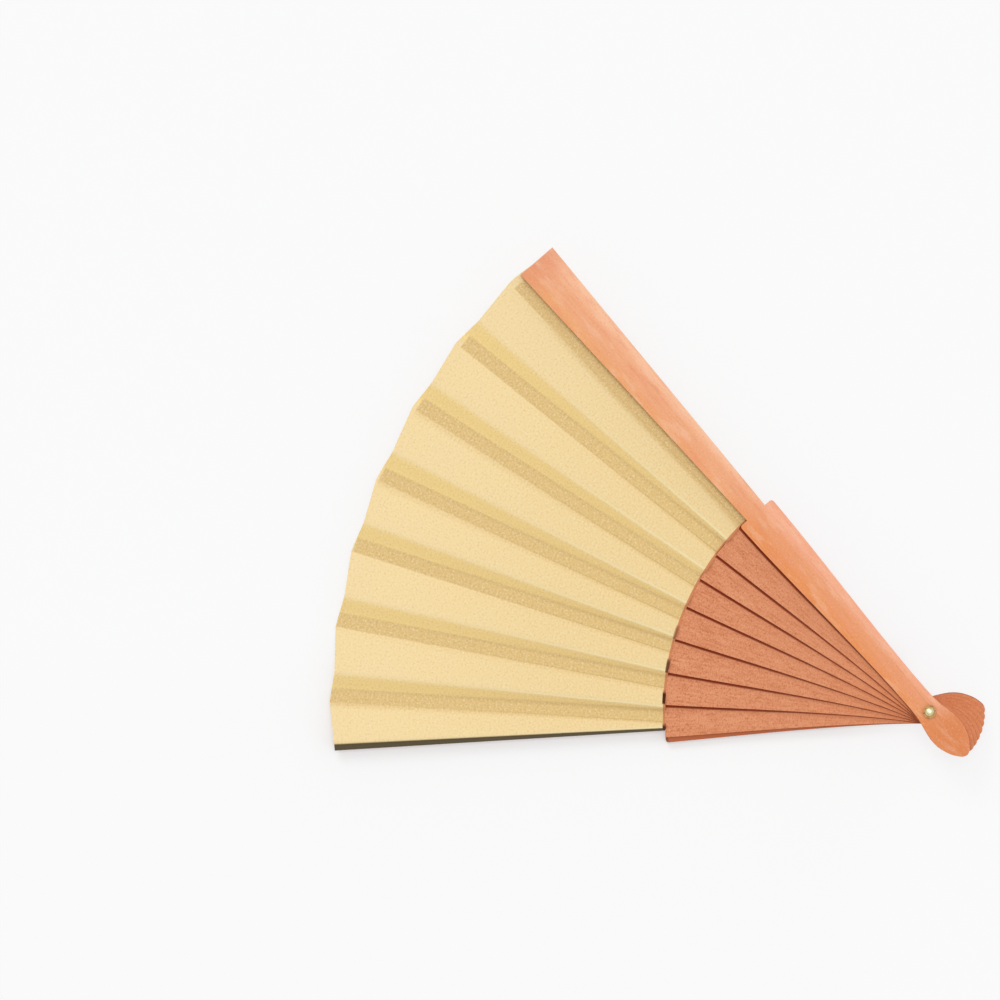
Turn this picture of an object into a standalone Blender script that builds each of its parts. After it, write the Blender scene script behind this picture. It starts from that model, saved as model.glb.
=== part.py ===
"""Wooden folding hand fan with a pleated cloth leaf, lying flat and partly open.

Metres, +Z up. The sticks turn about the Z axis through the origin, and angles are
counted in degrees from +X. The rear guard lies on the floor, the front guard on top.
"""

import bmesh
import bpy
from math import cos, pi, radians, sin, sqrt, tan
from mathutils import Matrix, Vector

# Sticks, along their own middle line from the pivot
GUARD_LENGTH = 0.2098
SHOULDER_HALF_WIDTH = 0.0074
HEAD_LENGTH = 0.020
GUARD_THICKNESS = 0.0026
RIB_THICKNESS = 0.0012
STICK_GAP = 0.0003
GUARD_BEVEL = 0.0005
RIB_BEVEL = 0.0003
BEVEL_ANGLE = 40
BEVEL_STEPS = 2
OUTLINE_STEPS = 3
WELD_DISTANCE = 0.00001

# The wide part: (share of the shoulder's distance, share of its half width)
front_guard_shares = (
    (0.86, 0.96),
    (0.68, 0.865),
    (0.484, 0.743),
    (0.28, 0.635),
    (0.097, 0.588),
    (0.0, 0.635),
)
# The ribs and the rear guard are slimmer below the shoulder
rib_shares = (
    (0.86, 0.909),
    (0.68, 0.782),
    (0.484, 0.662),
    (0.28, 0.576),
    (0.097, 0.57),
    (0.0, 0.635),
)
# The petal head: (share of the head's length, share of the shoulder's half width)
head_shares = (
    (0.225, 0.757),
    (0.475, 0.824),
    (0.725, 0.676),
    (0.915, 0.378),
    (1.0, 0.11),
)

# Guard blades: the front one shows, and the rear one stays behind the leaf
BLADE_ROOT_HALF_WIDTH = 0.00415
BLADE_TIP_HALF_WIDTH = 0.0074
REAR_TIP_SETBACK = 0.0010
GUARD_CORNER_RADIUS = 0.0010
arc_middle_share = 1 - sqrt(0.5)

# Slips: the narrow ends of the ribs, behind the leaf
SLIP_TIP_SETBACK = 0.0027
SLIP_HALF_WIDTH = 0.0023
SLIP_THICKNESS = 0.0005

# Places of the sticks round the pivot, in degrees
FRONT_GUARD_ANGLE = 131.1
REAR_GUARD_ANGLE = 182.35
REAR_BLADE_ANGLE = 181.65
rib_angles = (139.0, 145.3, 152.0, 159.5, 167.0, 174.1, 181.2)
# The leaf draws the slips towards the front guard, so each one runs a little off the rib's middle
slip_root_angles = (136.2, 142.2, 150.6, 158.4, 165.8, 173.7, 181.1)
slip_tip_angles = (133.7, 141.4, 148.9, 156.6, 163.8, 171.2, 178.5)

# Rivet and washers
PIN_RADIUS = 0.0011
HEAD_RADIUS = 0.0016
HEAD_HEIGHT = 0.0010
FLANGE_RADIUS = 0.0019
FLANGE_THICKNESS = 0.00035
WASHER_RADIUS = 0.0023
WASHER_THICKNESS = 0.0004
PIN_CLEARANCE = 0.0003
SEAT_GAP = 0.0003
DOME_STEPS = 6
TURN_STEPS = 32
HOLE_SIDES = 24

# Leaf
LEAF_INNER_RADIUS = 0.09325
LEAF_OUTER_RADIUS = 0.2107
LEAF_RIDGE_PULL = 0.0013
LEAF_THICKNESS = 0.0004
LEAF_CLEARANCE = 0.0003
LEAF_JOINT_GAP = 0.0003
SHOULDER_CLEARANCE = 0.00065
PLEAT_OUTER_HEIGHT = 0.0028
PLEAT_INNER_HEIGHT = 0.0014
# Fold lines in degrees, first where they end at the outer edge, then at the inner edge
glue_outer_angles = slip_tip_angles
glue_inner_angles = (134.5, 141.8, 150.6, 158.4, 165.8, 173.7, 181.1)
valley_outer_angles = (134.4, 142.1, 149.5, 157.2, 164.5, 171.87, 179.07)
valley_inner_angles = (135.2, 143.2, 152.0, 159.8, 167.2, 175.1, 182.5)
ridge_outer_angles = (139.07, 146.57, 154.17, 161.5, 168.9, 176.33, 183.15)
ridge_inner_angles = (139.6, 147.6, 155.93, 163.6, 171.3, 179.1, 183.6)
FOOT_OUTER_ANGLE = 0.65
FOOT_INNER_ANGLE = 1.2
START_OUTER_ANGLE = 130.0
START_INNER_ANGLE = 129.5
HEM_OUTER_ANGLE = 183.85
HEM_INNER_ANGLE = 184.3
TURNED_OUTER_ANGLE = 181.0
TURNED_INNER_ANGLE = 183.0

RIB_COUNT = len(rib_angles)
SHOULDER_X = LEAF_INNER_RADIUS - SHOULDER_CLEARANCE
SLIP_LENGTH = LEAF_OUTER_RADIUS - SLIP_TIP_SETBACK
RIB_PITCH = RIB_THICKNESS + STICK_GAP
RIB_STACK_BOTTOM = GUARD_THICKNESS + STICK_GAP
FRONT_GUARD_BOTTOM = RIB_STACK_BOTTOM + RIB_COUNT * RIB_PITCH
FRONT_GUARD_TOP = FRONT_GUARD_BOTTOM + GUARD_THICKNESS

# Colour, roughness and metallic value of each material
finishes = {
    "guard wood": ((0.80, 0.37, 0.22), 0.45, 0.0),
    "rib wood": ((0.70, 0.27, 0.15), 0.5, 0.0),
    "leaf cloth": ((0.90, 0.73, 0.37), 0.9, 0.0),
    "rivet brass": ((0.70, 0.62, 0.36), 0.3, 1.0),
    "washer brass": ((0.42, 0.32, 0.14), 0.4, 1.0),
}


def clear_scene():
    for item in list(bpy.data.objects):
        bpy.data.objects.remove(item, do_unlink=True)


def new_collection(name):
    group = bpy.data.collections.new(name)
    bpy.context.scene.collection.children.link(group)
    return group


def make_material(name, colour, roughness, metallic):
    material = bpy.data.materials.new(name)
    material.use_nodes = True
    shader = material.node_tree.nodes["Principled BSDF"]
    shader.inputs["Base Color"].default_value = (*colour, 1)
    shader.inputs["Roughness"].default_value = roughness
    shader.inputs["Metallic"].default_value = metallic
    return material


def add_object(name, data, group, finish):
    item = bpy.data.objects.new(name, data)
    if finish:
        data.materials.append(make_material(f"{name} {finish}", *finishes[finish]))
    group.objects.link(item)
    return item


def solid_from_outline(name, points, thickness, group, finish):
    """Fill a flat outline of (x, y, corner) points and give it its thickness."""
    curve = bpy.data.curves.new(f"{name} outline", "CURVE")
    curve.dimensions = "2D"
    curve.fill_mode = "BOTH"
    curve.extrude = thickness / 2
    curve.resolution_u = OUTLINE_STEPS
    curve.render_resolution_u = OUTLINE_STEPS
    spline = curve.splines.new("BEZIER")
    spline.bezier_points.add(len(points) - 1)
    for knot, (x, y, corner) in zip(spline.bezier_points, points):
        knot.co = (x, y, 0)
        knot.handle_left_type = "VECTOR" if corner else "AUTO"
        knot.handle_right_type = "VECTOR" if corner else "AUTO"
    spline.use_cyclic_u = True
    source = bpy.data.objects.new(f"{name} outline", curve)
    group.objects.link(source)
    bpy.context.view_layer.update()
    graph = bpy.context.evaluated_depsgraph_get()
    mesh = bpy.data.meshes.new_from_object(source.evaluated_get(graph))
    bpy.data.objects.remove(source, do_unlink=True)
    shape = bmesh.new()
    shape.from_mesh(mesh)
    bmesh.ops.remove_doubles(shape, verts=shape.verts, dist=WELD_DISTANCE)
    bmesh.ops.recalc_face_normals(shape, faces=shape.faces)
    shape.to_mesh(mesh)
    shape.free()
    mesh.name = name
    mesh.materials.clear()
    return add_object(name, mesh, group, finish)


def cylinder_cutter(name, radius, bottom, top, cutters):
    shape = bmesh.new()
    bmesh.ops.create_cone(
        shape, cap_ends=True, segments=HOLE_SIDES, radius1=radius, radius2=radius,
        depth=top - bottom, matrix=Matrix.Translation((0, 0, (top + bottom) / 2)))
    return cutter_from(name, shape, cutters)


def box_cutter(name, low, high, cutters):
    centre = (Vector(low) + Vector(high)) / 2
    size = Vector(high) - Vector(low)
    shape = bmesh.new()
    bmesh.ops.create_cube(shape, size=1, matrix=Matrix.Translation(centre) @ Matrix.Diagonal((*size, 1)))
    return cutter_from(name, shape, cutters)


def cutter_from(name, shape, cutters):
    mesh = bpy.data.meshes.new(name)
    shape.to_mesh(mesh)
    shape.free()
    cutter = add_object(name, mesh, cutters, None)
    cutter.hide_render = True
    cutter.display_type = "WIRE"
    return cutter


def cut(item, cutter):
    cutter.parent = item
    modifier = item.modifiers.new(f"Cut {cutter.name}", "BOOLEAN")
    modifier.operation = "DIFFERENCE"
    modifier.solver = "EXACT"
    modifier.object = cutter


def bevel_edges(item, width):
    modifier = item.modifiers.new("Rounded edges", "BEVEL")
    modifier.width = width
    modifier.segments = BEVEL_STEPS
    modifier.limit_method = "ANGLE"
    modifier.angle_limit = radians(BEVEL_ANGLE)


def shoulder_corner(radius):
    if not radius:
        return [(SHOULDER_X, SHOULDER_HALF_WIDTH, True)]
    inset = radius * arc_middle_share
    return [
        (SHOULDER_X, SHOULDER_HALF_WIDTH - radius, True),
        (SHOULDER_X - inset, SHOULDER_HALF_WIDTH - inset, False),
        (SHOULDER_X - radius, SHOULDER_HALF_WIDTH, True),
    ]


def wide_part_side(part_shares, corner_radius):
    """One side of the wide part, from the shoulder back to the tip of the head."""
    side = shoulder_corner(corner_radius)
    side += [(SHOULDER_X * along, SHOULDER_HALF_WIDTH * wide, False) for along, wide in part_shares]
    side += [(-HEAD_LENGTH * along, SHOULDER_HALF_WIDTH * wide, False) for along, wide in head_shares]
    return side


def stick_outline(part_shares, narrow_end, corner_radius=0):
    """The whole outline; narrow_end runs from the lower to the upper side of the shoulder."""
    side = wide_part_side(part_shares, corner_radius)
    other_side = [(x, -y, corner) for x, y, corner in reversed(side)]
    return side + other_side + [(x, y, True) for x, y in narrow_end]


def guard_blade(length, turn):
    """The blade, turned off the middle of the wide part by so many radians."""
    root = SHOULDER_X * tan(turn)
    tip = length * tan(turn)
    return [
        (SHOULDER_X, root - BLADE_ROOT_HALF_WIDTH),
        (length, tip - BLADE_TIP_HALF_WIDTH),
        (length, tip + BLADE_TIP_HALF_WIDTH),
        (SHOULDER_X, root + BLADE_ROOT_HALF_WIDTH),
    ]


def rib_slip(root_turn, tip_turn):
    root = Vector((SHOULDER_X, SHOULDER_X * tan(root_turn)))
    tip = Vector((SLIP_LENGTH * cos(tip_turn), SLIP_LENGTH * sin(tip_turn)))
    along = (tip - root).normalized()
    across = Vector((-along.y, along.x)) * SLIP_HALF_WIDTH
    root_across = Vector((0, SLIP_HALF_WIDTH / along.x))
    return [root - root_across, tip - across, tip + across, root + root_across]


def make_stick(name, outline, thickness, bottom, angle, parts, cutters, finish):
    """A stick lying along its own +X, with its origin on the pivot's axis."""
    stick = solid_from_outline(name, outline, thickness, parts, finish)
    stick.location = (0, 0, bottom + thickness / 2)
    stick.rotation_euler = (0, 0, radians(angle))
    hole = cylinder_cutter(f"{name} pin hole", PIN_RADIUS + PIN_CLEARANCE, -thickness, thickness, cutters)
    cut(stick, hole)
    return stick


def make_front_guard(parts, cutters):
    outline = stick_outline(front_guard_shares, guard_blade(GUARD_LENGTH, 0), GUARD_CORNER_RADIUS)
    guard = make_stick("front_guard", outline, GUARD_THICKNESS, FRONT_GUARD_BOTTOM,
                       FRONT_GUARD_ANGLE, parts, cutters, "guard wood")
    bevel_edges(guard, GUARD_BEVEL)


def make_rear_guard(parts, cutters):
    length = LEAF_OUTER_RADIUS - LEAF_RIDGE_PULL - REAR_TIP_SETBACK
    blade = guard_blade(length, radians(REAR_BLADE_ANGLE - REAR_GUARD_ANGLE))
    outline = stick_outline(rib_shares, blade, GUARD_CORNER_RADIUS)
    guard = make_stick("rear_guard", outline, GUARD_THICKNESS, 0,
                       REAR_GUARD_ANGLE, parts, cutters, "guard wood")
    recess_depth = FLANGE_THICKNESS + SEAT_GAP + WASHER_THICKNESS + SEAT_GAP
    underside = -GUARD_THICKNESS / 2
    recess = cylinder_cutter("rear_guard recess", WASHER_RADIUS + SEAT_GAP, underside - GUARD_THICKNESS,
                             underside + recess_depth, cutters)
    cut(guard, recess)
    bevel_edges(guard, GUARD_BEVEL)


def rib_bottom(number):
    """Underside of rib 1, next to the front guard, to rib 7, next to the rear guard."""
    return RIB_STACK_BOTTOM + (RIB_COUNT - number) * RIB_PITCH


def make_ribs(parts, cutters):
    for index, angle in enumerate(rib_angles):
        number = index + 1
        slip = rib_slip(radians(slip_root_angles[index] - angle), radians(slip_tip_angles[index] - angle))
        rib = make_stick(f"rib_{number}", stick_outline(rib_shares, slip), RIB_THICKNESS, rib_bottom(number),
                         angle, parts, cutters, "rib wood")
        thinned = box_cutter(
            f"rib_{number} thinned slip",
            (SHOULDER_X, -SLIP_LENGTH, SLIP_THICKNESS - RIB_THICKNESS / 2),
            (SLIP_LENGTH + SHOULDER_HALF_WIDTH, SLIP_LENGTH, RIB_THICKNESS),
            cutters)
        cut(rib, thinned)
        bevel_edges(rib, RIB_BEVEL)


def turned_solid(name, profile, parts, finish):
    """Turn a profile of (radius, height) points, listed from top to bottom, about Z."""
    mesh = bpy.data.meshes.new(name)
    mesh.from_pydata([(radius, 0, height) for radius, height in profile],
                     [(i, i + 1) for i in range(len(profile) - 1)], [])
    solid = add_object(name, mesh, parts, finish)
    screw = solid.modifiers.new("Turned", "SCREW")
    screw.axis = "Z"
    screw.steps = TURN_STEPS
    screw.render_steps = TURN_STEPS
    screw.use_merge_vertices = True
    screw.merge_threshold = WELD_DISTANCE
    screw.use_smooth_shade = True
    return solid


def make_rivet(parts):
    head_base = FRONT_GUARD_TOP + SEAT_GAP + WASHER_THICKNESS + SEAT_GAP
    dome = []
    for step in range(DOME_STEPS + 1):
        turn = pi / 2 * step / DOME_STEPS
        dome.append((HEAD_RADIUS * sin(turn), head_base + HEAD_HEIGHT * cos(turn)))
    shank = [
        (PIN_RADIUS, head_base),
        (PIN_RADIUS, FLANGE_THICKNESS),
        (FLANGE_RADIUS, FLANGE_THICKNESS),
        (FLANGE_RADIUS, 0),
        (0, 0),
    ]
    turned_solid("rivet", dome + shank, parts, "rivet brass")


def make_washer(name, bottom, parts):
    inner = PIN_RADIUS + PIN_CLEARANCE
    top = bottom + WASHER_THICKNESS
    ring = [(inner, top), (WASHER_RADIUS, top), (WASHER_RADIUS, bottom), (inner, bottom), (inner, top)]
    turned_solid(name, ring, parts, "washer brass")


def glue_height(number):
    """Middle of the cloth where it lies on a slip, under the front guard (0) or on the rear one."""
    lift = LEAF_CLEARANCE + LEAF_THICKNESS / 2
    if number == 0:
        return FRONT_GUARD_BOTTOM - lift
    if number > RIB_COUNT:
        return GUARD_THICKNESS + lift
    return rib_bottom(number) + SLIP_THICKNESS + lift


def edge_radius(angle, ridge, valley):
    """The leaf's outer edge runs straight from a ridge, which is pulled in, out to the next valley."""
    share = (angle - ridge) / (valley - ridge)
    return LEAF_OUTER_RADIUS - LEAF_RIDGE_PULL * (1 - share)


def leaf_columns(number):
    """Fold lines of one leaf piece: (outer angle, inner angle, outer height, inner height, outer radius)."""
    level = glue_height(number - 1)
    next_level = glue_height(number)
    wide = LEAF_OUTER_RADIUS
    if number == 1:
        return [
            (START_OUTER_ANGLE, START_INNER_ANGLE, level, level, wide - LEAF_RIDGE_PULL),
            (glue_outer_angles[0], glue_inner_angles[0], next_level, next_level, wide),
        ]
    before = number - 2
    ridge = ridge_outer_angles[before]
    glue = glue_outer_angles[before]
    glue_radius = wide
    if before > 0:
        glue_radius = edge_radius(glue, ridge_outer_angles[before - 1], valley_outer_angles[before])
    columns = [
        (glue, glue_inner_angles[before], level, level, glue_radius),
        (valley_outer_angles[before], valley_inner_angles[before], level, level, wide),
        (ridge, ridge_inner_angles[before], level + PLEAT_OUTER_HEIGHT, level + PLEAT_INNER_HEIGHT,
         wide - LEAF_RIDGE_PULL),
    ]
    if number > RIB_COUNT:
        pulled = wide - LEAF_RIDGE_PULL
        columns.append((HEM_OUTER_ANGLE, HEM_INNER_ANGLE, next_level, next_level, pulled))
        columns.append((TURNED_OUTER_ANGLE, TURNED_INNER_ANGLE, next_level, next_level, pulled))
        return columns
    valley = valley_outer_angles[number - 1]
    next_glue = glue_outer_angles[number - 1]
    next_inner = glue_inner_angles[number - 1]
    foot = next_glue - FOOT_OUTER_ANGLE
    columns.append((foot, next_inner - FOOT_INNER_ANGLE, next_level, next_level,
                    edge_radius(foot, ridge, valley)))
    columns.append((next_glue, next_inner, next_level, next_level, edge_radius(next_glue, ridge, valley)))
    return columns


def leaf_point(radius, angle, height, shift):
    """A point of the cloth, moved sideways by shift to leave the gap between two pieces."""
    turn = radians(angle)
    return (radius * cos(turn) - shift * sin(turn), radius * sin(turn) + shift * cos(turn), height)


def make_leaf_piece(number, parts):
    columns = leaf_columns(number)
    shape = bmesh.new()
    rows = []
    for index, (outer_angle, inner_angle, outer_height, inner_height, radius) in enumerate(columns):
        shift = 0
        if index == 0:
            shift = LEAF_JOINT_GAP / 2
        if index == len(columns) - 1:
            shift = -LEAF_JOINT_GAP / 2
        inner = shape.verts.new(leaf_point(LEAF_INNER_RADIUS, inner_angle, inner_height, shift))
        outer = shape.verts.new(leaf_point(radius, outer_angle, outer_height, shift))
        rows.append((inner, outer))
    for (inner, outer), (next_inner, next_outer) in zip(rows, rows[1:]):
        shape.faces.new((inner, outer, next_outer, next_inner))
    name = f"leaf_{number}"
    mesh = bpy.data.meshes.new(name)
    shape.to_mesh(mesh)
    shape.free()
    leaf = add_object(name, mesh, parts, "leaf cloth")
    thicken = leaf.modifiers.new("Cloth thickness", "SOLIDIFY")
    thicken.thickness = LEAF_THICKNESS
    thicken.offset = 0


def build():
    clear_scene()
    parts = new_collection("wooden hand fan")
    cutters = new_collection("cutters")
    make_rear_guard(parts, cutters)
    make_ribs(parts, cutters)
    make_front_guard(parts, cutters)
    make_rivet(parts)
    make_washer("rear_washer", FLANGE_THICKNESS + SEAT_GAP, parts)
    make_washer("front_washer", FRONT_GUARD_TOP + SEAT_GAP, parts)
    for number in range(1, RIB_COUNT + 2):
        make_leaf_piece(number, parts)


build()
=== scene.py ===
import bmesh
import bpy
from math import atan2, cos, degrees, pi, radians, sin
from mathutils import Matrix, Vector, noise


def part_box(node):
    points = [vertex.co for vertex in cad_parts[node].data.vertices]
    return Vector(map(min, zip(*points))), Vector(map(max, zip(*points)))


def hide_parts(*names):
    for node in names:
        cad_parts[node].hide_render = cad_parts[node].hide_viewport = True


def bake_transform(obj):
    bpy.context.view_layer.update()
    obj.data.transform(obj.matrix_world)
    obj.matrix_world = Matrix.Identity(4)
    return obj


# A folding hand fan. Lengths are in metres, angles in degrees round the rivet from +X.

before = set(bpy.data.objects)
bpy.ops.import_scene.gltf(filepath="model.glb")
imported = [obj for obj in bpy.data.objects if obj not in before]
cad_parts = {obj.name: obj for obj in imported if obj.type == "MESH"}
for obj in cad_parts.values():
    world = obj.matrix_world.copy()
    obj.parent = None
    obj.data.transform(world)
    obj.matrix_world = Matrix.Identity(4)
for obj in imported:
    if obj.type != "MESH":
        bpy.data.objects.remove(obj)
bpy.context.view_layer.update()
print("frame loaded:", len(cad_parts), "nodes")

ribAngles = (139.0, 145.3, 152.0, 159.5, 167.0, 174.1, 181.2)
guardAngles = {"front_guard": 131.1, "rear_guard": 182.35}
ribCount = len(ribAngles)
ribNames = [f"rib_{number}" for number in range(1, ribCount + 1)]
sticks = {"front_guard": guardAngles["front_guard"], **dict(zip(ribNames, ribAngles)),
          "rear_guard": guardAngles["rear_guard"]}  # from the top down


class Value:  # a number socket that plain arithmetic works on

    def __init__(self, shader, socket):
        self.shader = shader
        self.socket = socket

    def math(self, operation, *others):
        node = self.shader.node("ShaderNodeMath", {"operation": operation},
                                {index: item for index, item in enumerate((self, *others))})
        return Value(self.shader, node.outputs[0])

    def __add__(self, other):
        return self.math("ADD", other)

    def __sub__(self, other):
        return self.math("SUBTRACT", other)

    def __mul__(self, other):
        return self.math("MULTIPLY", other)

    def __truediv__(self, other):
        return self.math("DIVIDE", other)

    def __neg__(self):
        return self * -1

    def __rsub__(self, other):
        return -self + other

    __radd__ = __add__
    __rmul__ = __mul__

    def size(self):
        return self.math("ABSOLUTE")

    def wave(self):
        return self.math("SINE")

    def larger(self, other):
        return self.math("MAXIMUM", other)

    def ramp(self, low, high):  # 0 up to low, 1 from high on, smooth between
        node = self.shader.node("ShaderNodeMapRange", {"interpolation_type": "SMOOTHSTEP"},
                                {"Value": self, "From Min": low, "From Max": high})
        return Value(self.shader, node.outputs["Result"])


class Shader:  # a new material, with short calls for its nodes

    def __init__(self, name, **sockets):
        self.material = bpy.data.materials.new(name)
        self.material.use_nodes = True
        self.tree = self.material.node_tree
        self.surface = self.tree.nodes["Principled BSDF"]
        for socket, value in sockets.items():
            self.surface.inputs[socket.replace("_", " ")].default_value = value

    def put(self, node, key, value):
        socket = node.inputs[key]
        if isinstance(value, Value):
            value = value.socket
        if isinstance(value, bpy.types.NodeSocket):
            self.tree.links.new(value, socket)
        else:
            socket.default_value = value

    def node(self, kind, settings, sockets):
        made = self.tree.nodes.new(kind)
        for key, value in settings.items():
            if key == "stops":
                self.setStops(made.color_ramp.elements, value)
            else:
                setattr(made, key, value)
        for key, value in sockets.items():
            self.put(made, key, value)
        return made

    def setStops(self, elements, stops):
        while len(elements) < len(stops):
            elements.new(0.5)
        for element, (position, level) in zip(elements, stops):
            element.position = position
            element.color = (level, level, level, 1)

    def noise(self, place, scale, detail=3, roughness=0.5):
        made = self.node("ShaderNodeTexNoise", {},
                         {"Vector": place, "Scale": scale, "Detail": detail, "Roughness": roughness})
        return Value(self, made.outputs[0])

    def stretched(self, place, turn=0, scale=(1, 1, 1)):  # turned about Z, then scaled
        turned = self.node("ShaderNodeMapping", {}, {"Vector": place, "Rotation": (0, 0, radians(turn))})
        made = self.node("ShaderNodeVectorMath", {"operation": "MULTIPLY"},
                         {0: turned.outputs[0], 1: scale})
        return made.outputs[0]

    def split(self, place):
        made = self.node("ShaderNodeSeparateXYZ", {}, {0: place})
        return [Value(self, socket) for socket in made.outputs]

    def mixed(self, share, first, second):
        made = self.node("ShaderNodeMix", {"data_type": "RGBA"}, {0: share, 6: first, 7: second})
        return made.outputs[2]

    def bump(self, height, distance, strength=1.0):
        made = self.node("ShaderNodeBump", {},
                         {"Height": height, "Distance": distance, "Strength": strength})
        self.put(self.surface, "Normal", made.outputs[0])

    def finish(self, colour, roughness):
        self.put(self.surface, "Base Color", colour)
        self.put(self.surface, "Roughness", roughness)
        return self.material


def shade(red, green, blue):  # a colour as the screen shows it, 0 to 255
    return (*[(part / 255) ** 2.2 for part in (red, green, blue)], 1)


# Half the width of a stick, at this distance from the rivet
ribHalfWidths = ((-0.0200, 0.0008), (-0.0183, 0.0028), (-0.0145, 0.0050), (-0.0095, 0.0061),
                 (-0.0045, 0.0056), (0, 0.0047), (0.0090, 0.0042), (0.0259, 0.0043), (0.0448, 0.0049),
                 (0.0630, 0.0058), (0.0796, 0.0067), (0.0926, 0.0074))
guardHalfWidths = ((-0.0200, 0.0008), (-0.0145, 0.0050), (-0.0095, 0.0061), (-0.0045, 0.0056),
                   (0, 0.0047), (0.0090, 0.0043), (0.0259, 0.0047), (0.0448, 0.0055), (0.0630, 0.0064),
                   (0.0796, 0.0071), (0.0926, 0.0074))


def stickPlace(shader, angle):  # object space turned so that X runs out along the stick
    made = shader.node("ShaderNodeTexCoord", {}, {})
    upward = shader.split(made.outputs["Normal"])[2]
    return shader.stretched(made.outputs["Object"], turn=-angle), upward.size(), upward.ramp(0.1, 0.4)


def beyondEdge(shader, angle, halfWidths):  # how far out past the lower side of the stick at this angle
    along, across = shader.split(stickPlace(shader, angle)[0])[:2]
    near, far = halfWidths[0][0], halfWidths[-1][0]
    widest = halfWidths[-1][1]
    stops = [((at - near) / (far - near), half / widest) for at, half in halfWidths]
    made = shader.node("ShaderNodeValToRGB", {"stops": stops}, {"Fac": (along - near) / (far - near)})
    return across - Value(shader, made.outputs["Color"]) * widest


guardWood = {
    # the up colours are a painted highlight on the stick's upper side, as if lit from above
    "blade": {"mid": shade(242, 168, 122), "low": shade(240, 165, 106), "up": shade(253, 193, 153)},
    "wide": {"mid": shade(237, 154, 104), "low": shade(235, 143, 79), "up": shade(248, 172, 135)},
    "head": shade(223, 130, 72),
    "tip": shade(232, 148, 108),
    "warm": shade(236, 150, 90),
    "rosy": shade(236, 148, 112),
    "dark": shade(206, 120, 76),
    "light": shade(255, 208, 176),
    # side colours the cut sides, and is the painted shade on the rear guard's face
    "side": shade(184, 92, 46),
    # edge is painted shade along the lower edges, round the head and on the rear guard's shoulder
    "edge": shade(132, 76, 40),
    "wideToBlade": (0.085, 0.110),  # distances from the rivet, as are the next three
    "toHead": (0.006, -0.010),
    "toTip": (0.195, 0.2095),
    "shoulder": (0.0914, 0.0921),
    "halfWidths": (0.0050, 0.0074),
    "widens": (0.02, 0.21),
    "rearShade": 0.9,
}


def makeGuardWood(name, angle, paintedShade):
    look = guardWood
    shader = Shader(name, Specular_IOR_Level=0.35)
    place, facing, front = stickPlace(shader, angle)
    along, across = shader.split(place)[:2]
    broad = shader.noise(shader.stretched(place, scale=(30, 190, 160)), 1, detail=2)
    patch = shader.noise(shader.stretched(place, scale=(90, 330, 160)), 1, detail=3)
    streak = shader.noise(shader.stretched(place, scale=(110, 1500, 900)), 1, detail=4, roughness=0.6)
    fleck = shader.noise(place, 1500, detail=3, roughness=0.7)
    narrow, wide = look["halfWidths"]
    side = across / (narrow + (wide - narrow) * along.ramp(*look["widens"]))
    zones = []
    # painted highlight: each zone's upper side is lighter, as if lit from above; its lower side takes a
    # deeper orange
    for zone in ("wide", "blade"):
        colour = shader.mixed(side.ramp(0.1, 0.85), look[zone]["mid"], look[zone]["low"])
        zones.append(shader.mixed(side.ramp(-0.1, -0.8), colour, look[zone]["up"]))
    colour = shader.mixed(along.ramp(*look["wideToBlade"]), *zones)
    colour = shader.mixed(along.ramp(*look["toHead"]), colour, look["head"])
    colour = shader.mixed(along.ramp(*look["toTip"]) * 0.7, colour, look["tip"])
    colour = shader.mixed(broad.ramp(0.5, 0.75) * 0.4 * side.ramp(-0.5, 0.5), colour, look["warm"])
    colour = shader.mixed(patch.ramp(0.5, 0.7) * 0.4, colour, look["rosy"])
    colour = shader.mixed(patch.ramp(0.48, 0.3) * 0.25, colour, look["light"])
    colour = shader.mixed(streak.ramp(0.5, 0.72) * 0.22, colour, look["dark"])
    colour = shader.mixed(fleck.ramp(0.52, 0.72) * 0.34, colour, look["dark"])
    colour = shader.mixed(fleck.ramp(0.48, 0.28) * 0.30, colour, look["light"])
    # painted shade: the rear guard's face is painted darker, as it lies under the ribs
    colour = shader.mixed(paintedShade * front, colour, look["side"])
    colour = shader.mixed(facing.ramp(0.8, 0.3) * 0.8, colour, look["side"])
    # painted shade: a dark edge along the lower side and round the head, away from the light above
    lower = side.ramp(-0.2, 0.4).larger(along.ramp(-0.002, -0.010))
    colour = shader.mixed(facing.ramp(0.9, 0.5) * lower * 0.7, colour, look["edge"])
    if paintedShade:  # the rear guard's shoulder lies in the shade of the ribs
        colour = shader.mixed(along.ramp(*look["shoulder"]) * front, colour, look["edge"])
    shader.bump(streak + fleck * 0.3, 0.00004, 0.6)
    return shader.finish(colour, 0.42 + 0.2 * streak)


ribWood = {
    "base": shade(221, 143, 103),
    "light": shade(238, 166, 125),
    "dark": shade(184, 98, 54),
    # side is the colour of the burnt cut edges and of the painted shadow line
    "side": shade(134, 46, 0),
    "cut": shade(176, 98, 60),
    "heads": shade(226, 136, 89),
    "paler": {"inner": (0.008, 0.018), "outer": (0.085, 0.05), "share": 0.12},  # in between these
    "toHeads": (0.05, -0.004),
    "shadowLineWidths": (0.00026, 0.00092),  # painted shadow that the stick on top casts beside its edge: widths near the rivet, far from it
    "shadowLineShares": (0.58, 0.95),
    "shadowLineFrom": (-0.002, 0.004),
}


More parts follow.
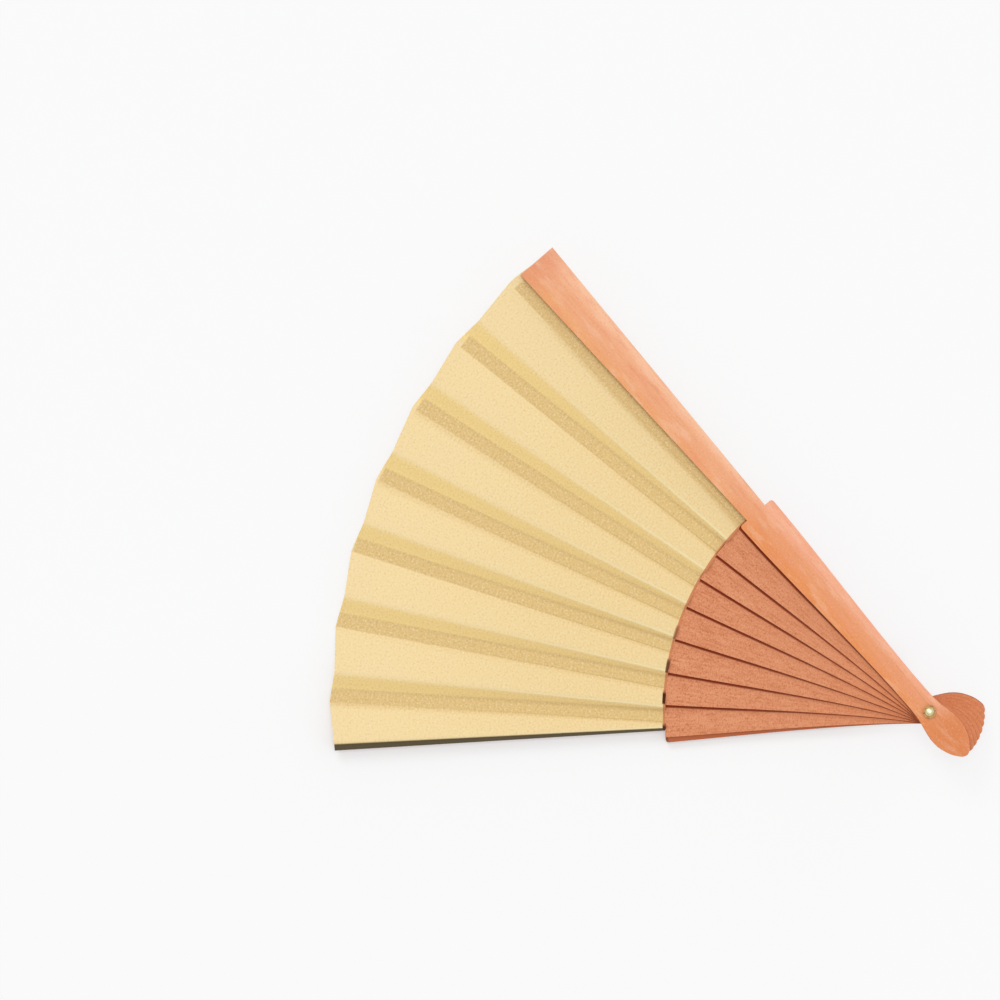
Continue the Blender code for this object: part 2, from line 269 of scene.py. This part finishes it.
def makeRibWood(name, angle, angleAbove, halfWidthsAbove):
    look = ribWood
    shader = Shader(name, Specular_IOR_Level=0.12)
    place, facing, front = stickPlace(shader, angle)
    along, across = shader.split(place)[:2]
    broad = shader.noise(shader.stretched(place, scale=(24, 150, 160)), 1, detail=2)
    streak = shader.noise(shader.stretched(place, scale=(190, 1500, 900)), 1, detail=4, roughness=0.65)
    pore = shader.noise(shader.stretched(place, scale=(2100, 1300, 1300)), 1, detail=3, roughness=0.7)
    colour = shader.mixed(broad.ramp(0.35, 0.7) * 0.35, look["base"], look["light"])
    colour = shader.mixed(streak.ramp(0.48, 0.72) * 0.5, colour, look["dark"])
    colour = shader.mixed(streak.ramp(0.5, 0.3) * 0.5, colour, look["light"])
    colour = shader.mixed(pore.ramp(0.5, 0.70) * 0.78, colour, look["dark"])
    colour = shader.mixed(pore.ramp(0.48, 0.30) * 0.74, colour, look["light"])
    pale = look["paler"]
    between = along.ramp(*pale["outer"]) * along.ramp(*pale["inner"])
    colour = shader.mixed(between * pale["share"], colour, look["light"])
    colour = shader.mixed(along.ramp(*look["toHeads"]) * 0.5, colour, look["heads"])
    # painted shadow: a dark line on this stick beside the edge of the stick above; the bevels take the same
    # dark colour as burnt cut edges
    slim, broadest = look["shadowLineWidths"]
    faint, strong = look["shadowLineShares"]
    lineWidth = along.ramp(0.01, 0.08) * (broadest - slim) + slim
    beyond = beyondEdge(shader, angleAbove, halfWidthsAbove) / lineWidth
    line = beyond.ramp(1.3, 0.7) * (along.ramp(0, 0.085) * (strong - faint) + faint)
    line = line * along.ramp(*look["shadowLineFrom"]) * front
    colour = shader.mixed(line.larger(facing.ramp(0.96, 0.75)), colour, look["side"])
    colour = shader.mixed(facing.ramp(0.4, 0.1), colour, look["cut"])
    shader.bump(streak + pore * 0.6, 0.00005, 0.7)
    return shader.finish(colour, 0.5 + 0.2 * streak)


rivetBrass = {"bright": shade(255, 248, 205), "dull": shade(236, 224, 168)}
washerBrass = {"bright": shade(180, 142, 92), "dull": shade(142, 106, 66)}


def makeBrass(name, look, roughness):
    shader = Shader(name, Metallic=1.0)
    place = shader.node("ShaderNodeTexCoord", {}, {}).outputs["Object"]
    cloud = shader.noise(place, 900)
    scratch = shader.noise(shader.stretched(place, turn=20, scale=(900, 9000, 900)), 1, detail=2)
    colour = shader.mixed(cloud.ramp(0.4, 0.7), look["bright"], look["dull"])
    shader.bump(scratch, 0.00001, 0.4)
    return shader.finish(colour, roughness + 0.12 * cloud)


leaf = {
    "innerRadius": 0.09325,
    "outerRadius": 0.2107,
    "ridgePull": 0.0013,
    "thickness": 0.00022,
    "rise": 0.0028,
    "innerRise": 0.0014,
    "rows": 28,
    "lastRows": (0.0036, 0.0030, 0.0024, 0.0018, 0.0012, 0.0006, 0),  # distances from the outer edge
    "foldSteps": 4,
    "panelSteps": 6,
    "rounds": {"ridge": 0.0013, "valley": 0.0004, "foot": 0.0018},  # how far from the fold its curve begins
    "roundShare": 0.45,  # of the cloth beside the fold, at most
    "crispAngle": 50,
    "ripple": 0.00012,
    "rippleScale": 38,
    "slipWidth": 0.0046,
    "slipEnds": (0.2076, 0.2082, 0.2086, 0.2092, 0.2097, 0.2102, 0.2110),
    "slipSoftness": 0.0006,
    "slipThickness": 0.0005,
    "lift": 0.0005,  # the middle of the cloth over what it is glued to
    "foot": (0.65, 1.2),  # turn from the glue line back to where the next pleat begins
    "shoulder": {"distance": 0.0926, "turn": 4.58, "overlap": 0.0002, "clearance": 0.00003, "tuck": 0.0008},
    "slots": (0, 0, 0, 0.5, 0.85, 1, 1),  # how dark the painted shade in the gap under the cloth's edge is beside each rib
    "slotTurn": (1.4, 0.8),  # from the rib's middle to where it starts, and from there to where it is full
    "weaveStep": 0.031,  # so that each piece reads its own stretch of the weave
    "spare": (1.02, 1.01),  # of the flat cloth over its folds' width and length
    "blendShare": 0.97,  # of the way to the glue lines
}
leafZones = ("away", "slip", "hem", "crest", "crease", "slot")

leafCloth = {
    "light": shade(250, 223, 168),
    # foldShadeAndMottle is painted shade for the panels facing away from the light, and also a random
    # mottle
    "foldShadeAndMottle": shade(255, 223, 150),
    "overSlip": shade(230, 197, 135),
    "grain": shade(196, 160, 98),
    "pale": shade(255, 240, 205),
    "crest": shade(255, 240, 190),
    # hem is painted shadow on the turned hem
    "hem": shade(91, 77, 49),
    "inner": shade(232, 198, 132),
    "crease": shade(186, 150, 88),
    "margin": shade(212, 136, 92),  # the strip beside the shoulders takes the wood's colour
    "slot": shade(84, 36, 4),
    "thread": 0.00034,
    "marginWidth": 0.0002,
    "slotWidths": (0.0005, 0.0003),
    "innerFrom": (0.11, 0.02),
}


def makeCloth():
    look = leafCloth
    shader = Shader("leaf cloth", Specular_IOR_Level=0.15, Sheen_Weight=0.12, Sheen_Roughness=0.6)
    place = shader.node("ShaderNodeUVMap", {"uv_map": "cloth"}, {}).outputs[0]
    away, slip, hem, crest, crease, slot = [
        Value(shader, shader.node("ShaderNodeAttribute", {"attribute_name": zone}, {}).outputs["Fac"])
        for zone in leafZones]
    across, fromRivet = shader.split(place)[:2]
    along = fromRivet - leaf["innerRadius"]
    turns = 2 * pi / look["thread"]
    weave = (along * turns).wave() * (across * turns).wave()
    slub = shader.noise(shader.stretched(place, scale=(900, 120, 1)), 1)
    fleck = shader.noise(place, 1300, detail=3, roughness=0.7)
    cloud = shader.noise(place, 60, detail=2)
    # painted shade: panels facing away from the light take a deeper, warmer tint, standing in for shade and
    # light bounced in the folds; the same tint mottles the cloth at random
    colour = shader.mixed(away, look["light"], look["foldShadeAndMottle"])
    colour = shader.mixed(cloud.ramp(0.35, 0.75) * 0.10, colour, look["foldShadeAndMottle"])
    # partly painted shade: the cloth over a slip is darker, partly the slip showing through and partly
    # painted shade of the pleat that the flat band lies in
    colour = shader.mixed(slip, colour, look["overSlip"])
    colour = shader.mixed(slip * fleck.ramp(0.48, 0.68) * 0.28, colour, look["grain"])
    colour = shader.mixed(along.ramp(*look["innerFrom"]) * 0.25, colour, look["inner"])
    colour = shader.mixed(fleck.ramp(0.5, 0.72) * 0.32, colour, look["grain"])
    colour = shader.mixed(fleck.ramp(0.48, 0.28) * 0.6, colour, look["pale"])
    # painted highlight: a pale line along each ridge, fading further out
    colour = shader.mixed(crest * 0.85, colour, look["crest"])
    # painted shade: darker along each valley crease, fading further out
    colour = shader.mixed(crease * 0.6, colour, look["crease"])
    # painted shadow: the turned hem along the last edge is painted dark as if in deep shadow
    colour = shader.mixed(hem, colour, look["hem"])
    colour = shader.mixed(along.ramp(look["marginWidth"], 0), colour, look["margin"])
    # painted shade: a dark dash in the gap under the raised cloth's edge beside the lower ribs
    colour = shader.mixed(slot * along.ramp(*look["slotWidths"]), colour, look["slot"])
    shader.bump(weave + slub * 1.5 + fleck * 0.8, 0.00003, 0.6)
    return shader.finish(colour, 0.85 + 0.1 * slub)


print("materials made")

# Fold lines: (angle where they end at the outer edge, angle at the inner edge)
guardLine = (130.0, 129.5)
glueLines = ((133.7, 134.5), (141.4, 141.8), (148.9, 150.6), (156.6, 158.4), (163.8, 165.8),
             (171.2, 173.7), (178.5, 181.1))
valleys = ((134.4, 135.2), (142.1, 143.2), (149.5, 152.0), (157.2, 159.8), (164.5, 167.2),
           (171.87, 175.1), (179.07, 182.5))
ridges = ((139.07, 139.6), (146.57, 147.6), (154.17, 155.93), (161.5, 163.6), (168.9, 171.3),
          (176.33, 179.1), (183.15, 183.6))
hemLine = (183.85, 184.3)
turnedEdge = (181.0, 183.0)


# Middle of the cloth on slip 1 to 7, under the front guard (0) or on the rear guard (8)
def glueHeight(number):
    if number == 0:
        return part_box("front_guard")[0].z - leaf["lift"]
    if number > ribCount:
        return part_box("rear_guard")[1].z + leaf["lift"]
    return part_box(f"rib_{number}")[0].z + leaf["slipThickness"] + leaf["lift"]


def polar(radius, angle, height):
    return Vector((radius * cos(radians(angle)), radius * sin(radians(angle)), height))


def foldLine(kind, angles, heights, pull=0.0):  # kind, inner end, outer end
    outer = polar(leaf["outerRadius"] - leaf["ridgePull"] * pull, angles[0], heights[0])
    inner = polar(leaf["innerRadius"], angles[1], heights[1])
    return kind, inner, outer


def edgePull(angle, ridge, valley):  # the outer edge runs straight from a ridge out to the next valley
    return (valley - angle) / (valley - ridge)


def foldLines(number):  # the folds of piece 1, next to the front guard, to 8, on the rear one
    level = glueHeight(number - 1)
    nextLevel = glueHeight(number)
    if number == 1:
        return [foldLine("end", guardLine, (level, level), 1),
                foldLine("end", glueLines[0], (nextLevel, nextLevel))]
    before = number - 2
    pull = 0
    if before > 0:
        pull = edgePull(glueLines[before][0], ridges[before - 1][0], valleys[before][0])
    lines = [
        foldLine("end", glueLines[before], (level, level), pull),
        foldLine("valley", valleys[before], (level, level)),
        foldLine("ridge", ridges[before], (level + leaf["rise"], level + leaf["innerRise"]), 1),
    ]
    if number > ribCount:
        lines.append(foldLine("valley", hemLine, (nextLevel, nextLevel), 1))
        lines.append(foldLine("end", turnedEdge, (nextLevel, nextLevel), 1))
        return lines
    glue = glueLines[number - 1]
    foot = (glue[0] - leaf["foot"][0], glue[1] - leaf["foot"][1])
    for kind, angles in (("foot", foot), ("end", glue)):
        pull = edgePull(angles[0], ridges[before][0], valleys[number - 1][0])
        lines.append(foldLine(kind, angles, (nextLevel, nextLevel), pull))
    return lines


def roundedFold(before, at, after, reach, steps):  # a small curve in place of the corner
    back = before - at
    ahead = after - at
    first = at + back.normalized() * min(reach, back.length * leaf["roundShare"])
    last = at + ahead.normalized() * min(reach, ahead.length * leaf["roundShare"])
    shares = [step / steps for step in range(steps + 1)]
    return [first * (1 - share) ** 2 + at * 2 * share * (1 - share) + last * share ** 2 for share in shares]


def section(points, kinds):  # one end of a piece as a smooth row of (point, panel it lies in)
    row = [(points[0], 0)]
    steps = leaf["panelSteps"]
    for index in range(1, len(points) - 1):
        reach = leaf["rounds"][kinds[index]]
        curve = roundedFold(points[index - 1], points[index], points[index + 1], reach, leaf["foldSteps"])
        begun = row[-1][0]
        row += [(begun.lerp(curve[0], step / steps), index - 1) for step in range(1, steps)]
        row += [(point, index - 1 + step / leaf["foldSteps"]) for step, point in enumerate(curve)]
    begun = row[-1][0]
    row += [(begun.lerp(points[-1], step / steps), len(points) - 2) for step in range(1, steps + 1)]
    return row


def slipShare(point):  # 1 where a slip lies behind the cloth, 0 beside it
    best = 0
    for (outer, inner), end in zip(glueLines, leaf["slipEnds"]):
        root = polar(leaf["innerRadius"], inner, 0)
        tip = polar(end, outer, 0)
        along = (tip - root).normalized()
        flat = Vector((point.x, point.y, 0)) - root
        aside = abs(flat.cross(along).z) - leaf["slipWidth"] / 2
        past = flat.dot(along) - (tip - root).length
        best = max(best, 1 - max(aside, past) / leaf["slipSoftness"])
    return min(1, max(0, best))


def rowShares():  # how far out each row of the mesh lies, from 0 at the inner edge to 1
    length = leaf["outerRadius"] - leaf["innerRadius"]
    lastShares = [1 - distance / length for distance in leaf["lastRows"]]
    return [lastShares[0] * step / leaf["rows"] for step in range(leaf["rows"])] + lastShares


def atShoulder(point):  # the point moved in to the shoulder of the stick that shows there
    angle = degrees(atan2(point.y, point.x)) % 360
    look = leaf["shoulder"]
    for name, stickAngle in sticks.items():
        if angle < stickAngle + look["turn"]:
            break
    edge = look["distance"] / cos(radians(angle - stickAngle))
    if angle < ribAngles[0] - look["turn"]:
        return polar(edge - look["tuck"], angle, point.z)
    isAbove = point.z - leaf["thickness"] / 2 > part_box(name)[1].z
    return polar(edge - look["overlap"] if isAbove else edge + look["clearance"], angle, point.z)


def slotShare(point):  # how much painted shade the gap under the cloth's edge gets at this point of the inner edge
    angle = degrees(atan2(point.y, point.x)) % 360
    begun, fade = leaf["slotTurn"]
    for ribAngle, dark in zip(ribAngles, leaf["slots"]):
        if angle < ribAngle + leaf["shoulder"]["turn"]:
            return dark * min(1, max(0, (angle - ribAngle - begun) / fade))
    return 0


def foldMark(panel, at, share, fade):  # 1 at this place across the panels, paler further out
    return max(0, 1 - abs(panel - at) * 4) * max(0, 1 - share * fade)


def zonesOf(number, panel, point, share):  # what the cloth's colours need to know at this point
    isHem = number > ribCount and panel > 1.5
    onLit = number > 1 and 1 < panel < 2
    return {
        "away": 0 if number == 1 else min(1, max(0, (panel - 1.5) * 2)),
        "slip": 0 if isHem or onLit else slipShare(point),
        "hem": 1 if isHem else 0,
        "crest": 0 if number == 1 else foldMark(panel, 1.5, share, 1.4),
        "crease": 0 if number == 1 else foldMark(panel, 0.25, share, 1.3),
    }


def makeLeafPiece(number, cloth):
    lines = foldLines(number)
    kinds = [kind for kind, inner, outer in lines]
    innerRow = [(atShoulder(point), panel)
                for point, panel in section([inner for kind, inner, outer in lines], kinds)]
    outerRow = [point for point, panel in section([outer for kind, inner, outer in lines], kinds)]
    shape = bmesh.new()
    zones = {zone: shape.verts.layers.float.new(zone) for zone in leafZones}
    sheetLayer = shape.loops.layers.uv.new("cloth")
    places = {}
    grid = []
    for share in rowShares():
        row = []
        across = number * leaf["weaveStep"]
        last = None
        for (inner, panel), outer in zip(innerRow, outerRow):
            point = inner.lerp(outer, share)
            across += (point - last).length if last else 0
            last = point.copy()
            point.z += noise.noise(Vector((point.x, point.y, 0)) * leaf["rippleScale"]) * leaf["ripple"]
            vert = shape.verts.new(point)
            for zone, value in zonesOf(number, panel, point, share).items():
                vert[zones[zone]] = value
            vert[zones["slot"]] = slotShare(inner)
            places[vert] = (across, point.xy.length)
            row.append(vert)
        grid.append(row)
    for low, high in zip(grid, grid[1:]):
        for index in range(len(low) - 1):
            face = shape.faces.new((low[index], high[index], high[index + 1], low[index + 1]))
            face.smooth = True
            for loop in face.loops:
                loop[sheetLayer].uv = places[loop.vert]
    shape.normal_update()
    if sum(face.normal.z for face in shape.faces) < 0:
        bmesh.ops.reverse_faces(shape, faces=shape.faces)
    area = sum(face.calc_area() for face in shape.faces)
    mesh = bpy.data.meshes.new(f"leaf_cloth_{number}")
    shape.to_mesh(mesh)
    shape.free()
    mesh.materials.append(cloth)
    piece = bpy.data.objects.new(mesh.name, mesh)
    bpy.context.collection.objects.link(piece)
    thicken = piece.modifiers.new("Cloth thickness", "SOLIDIFY")
    thicken.thickness = leaf["thickness"]
    thicken.offset = 0
    crisp = piece.modifiers.new("Crisp cut edges", "EDGE_SPLIT")
    crisp.split_angle = radians(leaf["crispAngle"])
    holdLeafPiece(piece, number, lines)


def holdLeafPiece(piece, number, lines):  # hides the frame's leaf node that this piece stands for and bakes the piece's transform
    first = lines[0]
    last = lines[-1]
    if number == 1:
        first = foldLine("end", (guardAngles["front_guard"],) * 2, (0, 0))
    if number > ribCount:
        last = lines[2]
    width = sum((nextLine[2] - line[2]).length for line, nextLine in zip(lines, lines[1:]))
    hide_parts(f"leaf_{number}")
    middleInner = (first[1] + last[1]) / 2
    middleOuter = (first[2] + last[2]) / 2
    middle = Vector((middleInner.x, middleInner.y, 0))
    along = (Vector((middleOuter.x, middleOuter.y, 0)) - middle).normalized()
    sideways = Vector((-along.y, along.x, 0))
    reach = min(abs((end - middle).dot(sideways)) for end in (first[1], last[1])) * leaf["blendShare"]
    middle - sideways * reach
    middle + sideways * reach
    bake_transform(piece)


cloth = makeCloth()
for number in range(1, ribCount + 2):
    makeLeafPiece(number, cloth)
print("leaf made:", ribCount + 1, "pieces")


def dress(node, material):  # gives a node of the frame its finish
    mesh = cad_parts[node].data
    mesh.materials.clear()
    mesh.materials.append(material)


for node, angle in guardAngles.items():
    dress(node, makeGuardWood(f"{node} wood", angle, guardWood["rearShade"] if node == "rear_guard" else 0))
angleAbove, halfWidthsAbove = guardAngles["front_guard"], guardHalfWidths
for index, angle in enumerate(ribAngles):
    dress(f"rib_{index + 1}", makeRibWood(f"rib {index + 1} wood", angle, angleAbove, halfWidthsAbove))
    angleAbove, halfWidthsAbove = angle, ribHalfWidths
dress("rivet", makeBrass("rivet brass", rivetBrass, 0.36))
for node in ("front_washer", "rear_washer"):
    dress(node, makeBrass(f"{node} brass", washerBrass, 0.5))
print("sticks and rivet dressed")

view = {
    "centre": (-0.1507, 0.0743),  # where the middle of the picture lies
    "width": 0.3517,  # what it covers at this level
    "level": 0.009,
    "distance": 3.0,
    "sensor": 36,
}

camera = bpy.data.objects.new("camera", bpy.data.cameras.new("camera"))
bpy.context.collection.objects.link(camera)
camera.location = (*view["centre"], view["level"] + view["distance"])
camera.data.sensor_width = view["sensor"]
camera.data.lens = view["sensor"] * view["distance"] / view["width"]
camera.data.clip_end = 20
bpy.context.scene.camera = camera
bpy.context.scene.view_settings.view_transform = "Standard"

floorLook = {
    "size": 6,
    "colour": (0.985, 0.985, 0.985, 1),
    "backdrop": (0.960, 0.960, 0.962, 1),
    "backdropShare": (0.3, 0.8),  # of the pale backdrop in the lit floor: below the fan, and elsewhere
    "elsewhere": {"x": (-0.04, 0.0), "y": (-0.004, 0.03)},
    "drop": 0.0001,
}


def makeFloor():  # clear when looked at from below
    shape = bmesh.new()
    bmesh.ops.create_grid(shape, x_segments=1, y_segments=1, size=floorLook["size"] / 2)
    mesh = bpy.data.meshes.new("floor")
    shape.to_mesh(mesh)
    shape.free()
    floor = bpy.data.objects.new("floor", mesh)
    bpy.context.collection.objects.link(floor)
    floor.location = (0, 0, -floorLook["drop"])
    shader = Shader("floor", Roughness=1.0, Specular_IOR_Level=0.0)
    shader.put(shader.surface, "Base Color", floorLook["colour"])
    rays = shader.node("ShaderNodeLightPath", {}, {})
    seen = Value(shader, rays.outputs["Is Camera Ray"]).larger(Value(shader, rays.outputs["Is Glossy Ray"]))
    seen = seen.larger(Value(shader, rays.outputs["Is Transmission Ray"]))
    x, y = shader.split(shader.node("ShaderNodeTexCoord", {}, {}).outputs["Object"])[:2]
    apart = floorLook["elsewhere"]
    below, elsewhere = floorLook["backdropShare"]
    share = y.ramp(*apart["y"]).larger(x.ramp(*apart["x"])) * (elsewhere - below) + below
    glow = shader.node("ShaderNodeEmission", {}, {"Color": floorLook["backdrop"], "Strength": 1})
    lit = shader.node("ShaderNodeMixShader", {}, {0: seen * share,
                                                  1: shader.surface.outputs[0], 2: glow.outputs[0]})
    behind = shader.node("ShaderNodeNewGeometry", {}, {}).outputs["Backfacing"]
    clear = shader.node("ShaderNodeBsdfTransparent", {}, {}).outputs[0]
    through = shader.node("ShaderNodeMixShader", {}, {0: behind, 1: lit.outputs[0], 2: clear})
    shader.put(shader.tree.nodes["Material Output"], "Surface", through.outputs[0])
    mesh.materials.append(shader.material)


lights = {
    "sky": 0.56,
    "suns": (
        {"name": "key", "strength": 0.52, "angle": 22, "from": (-0.47, 0.95, 1.0)},
        {"name": "front", "strength": 0.93, "angle": 30, "from": (0.0, 0.1, 1.0)},
    ),
}


def makeLights():
    world = bpy.data.worlds.new("sky")
    world.use_nodes = True
    bpy.context.scene.world = world
    sky = world.node_tree.nodes["Background"]
    sky.inputs["Color"].default_value = (1, 1, 1, 1)
    sky.inputs["Strength"].default_value = lights["sky"]
    for look in lights["suns"]:
        data = bpy.data.lights.new(look["name"], "SUN")
        data.energy = look["strength"]
        data.angle = radians(look["angle"])
        lamp = bpy.data.objects.new(look["name"], data)
        bpy.context.collection.objects.link(lamp)
        lamp.rotation_euler = Vector(look["from"]).to_track_quat("Z", "Y").to_euler()


makeFloor()
makeLights()
print("camera, floor and light placed")
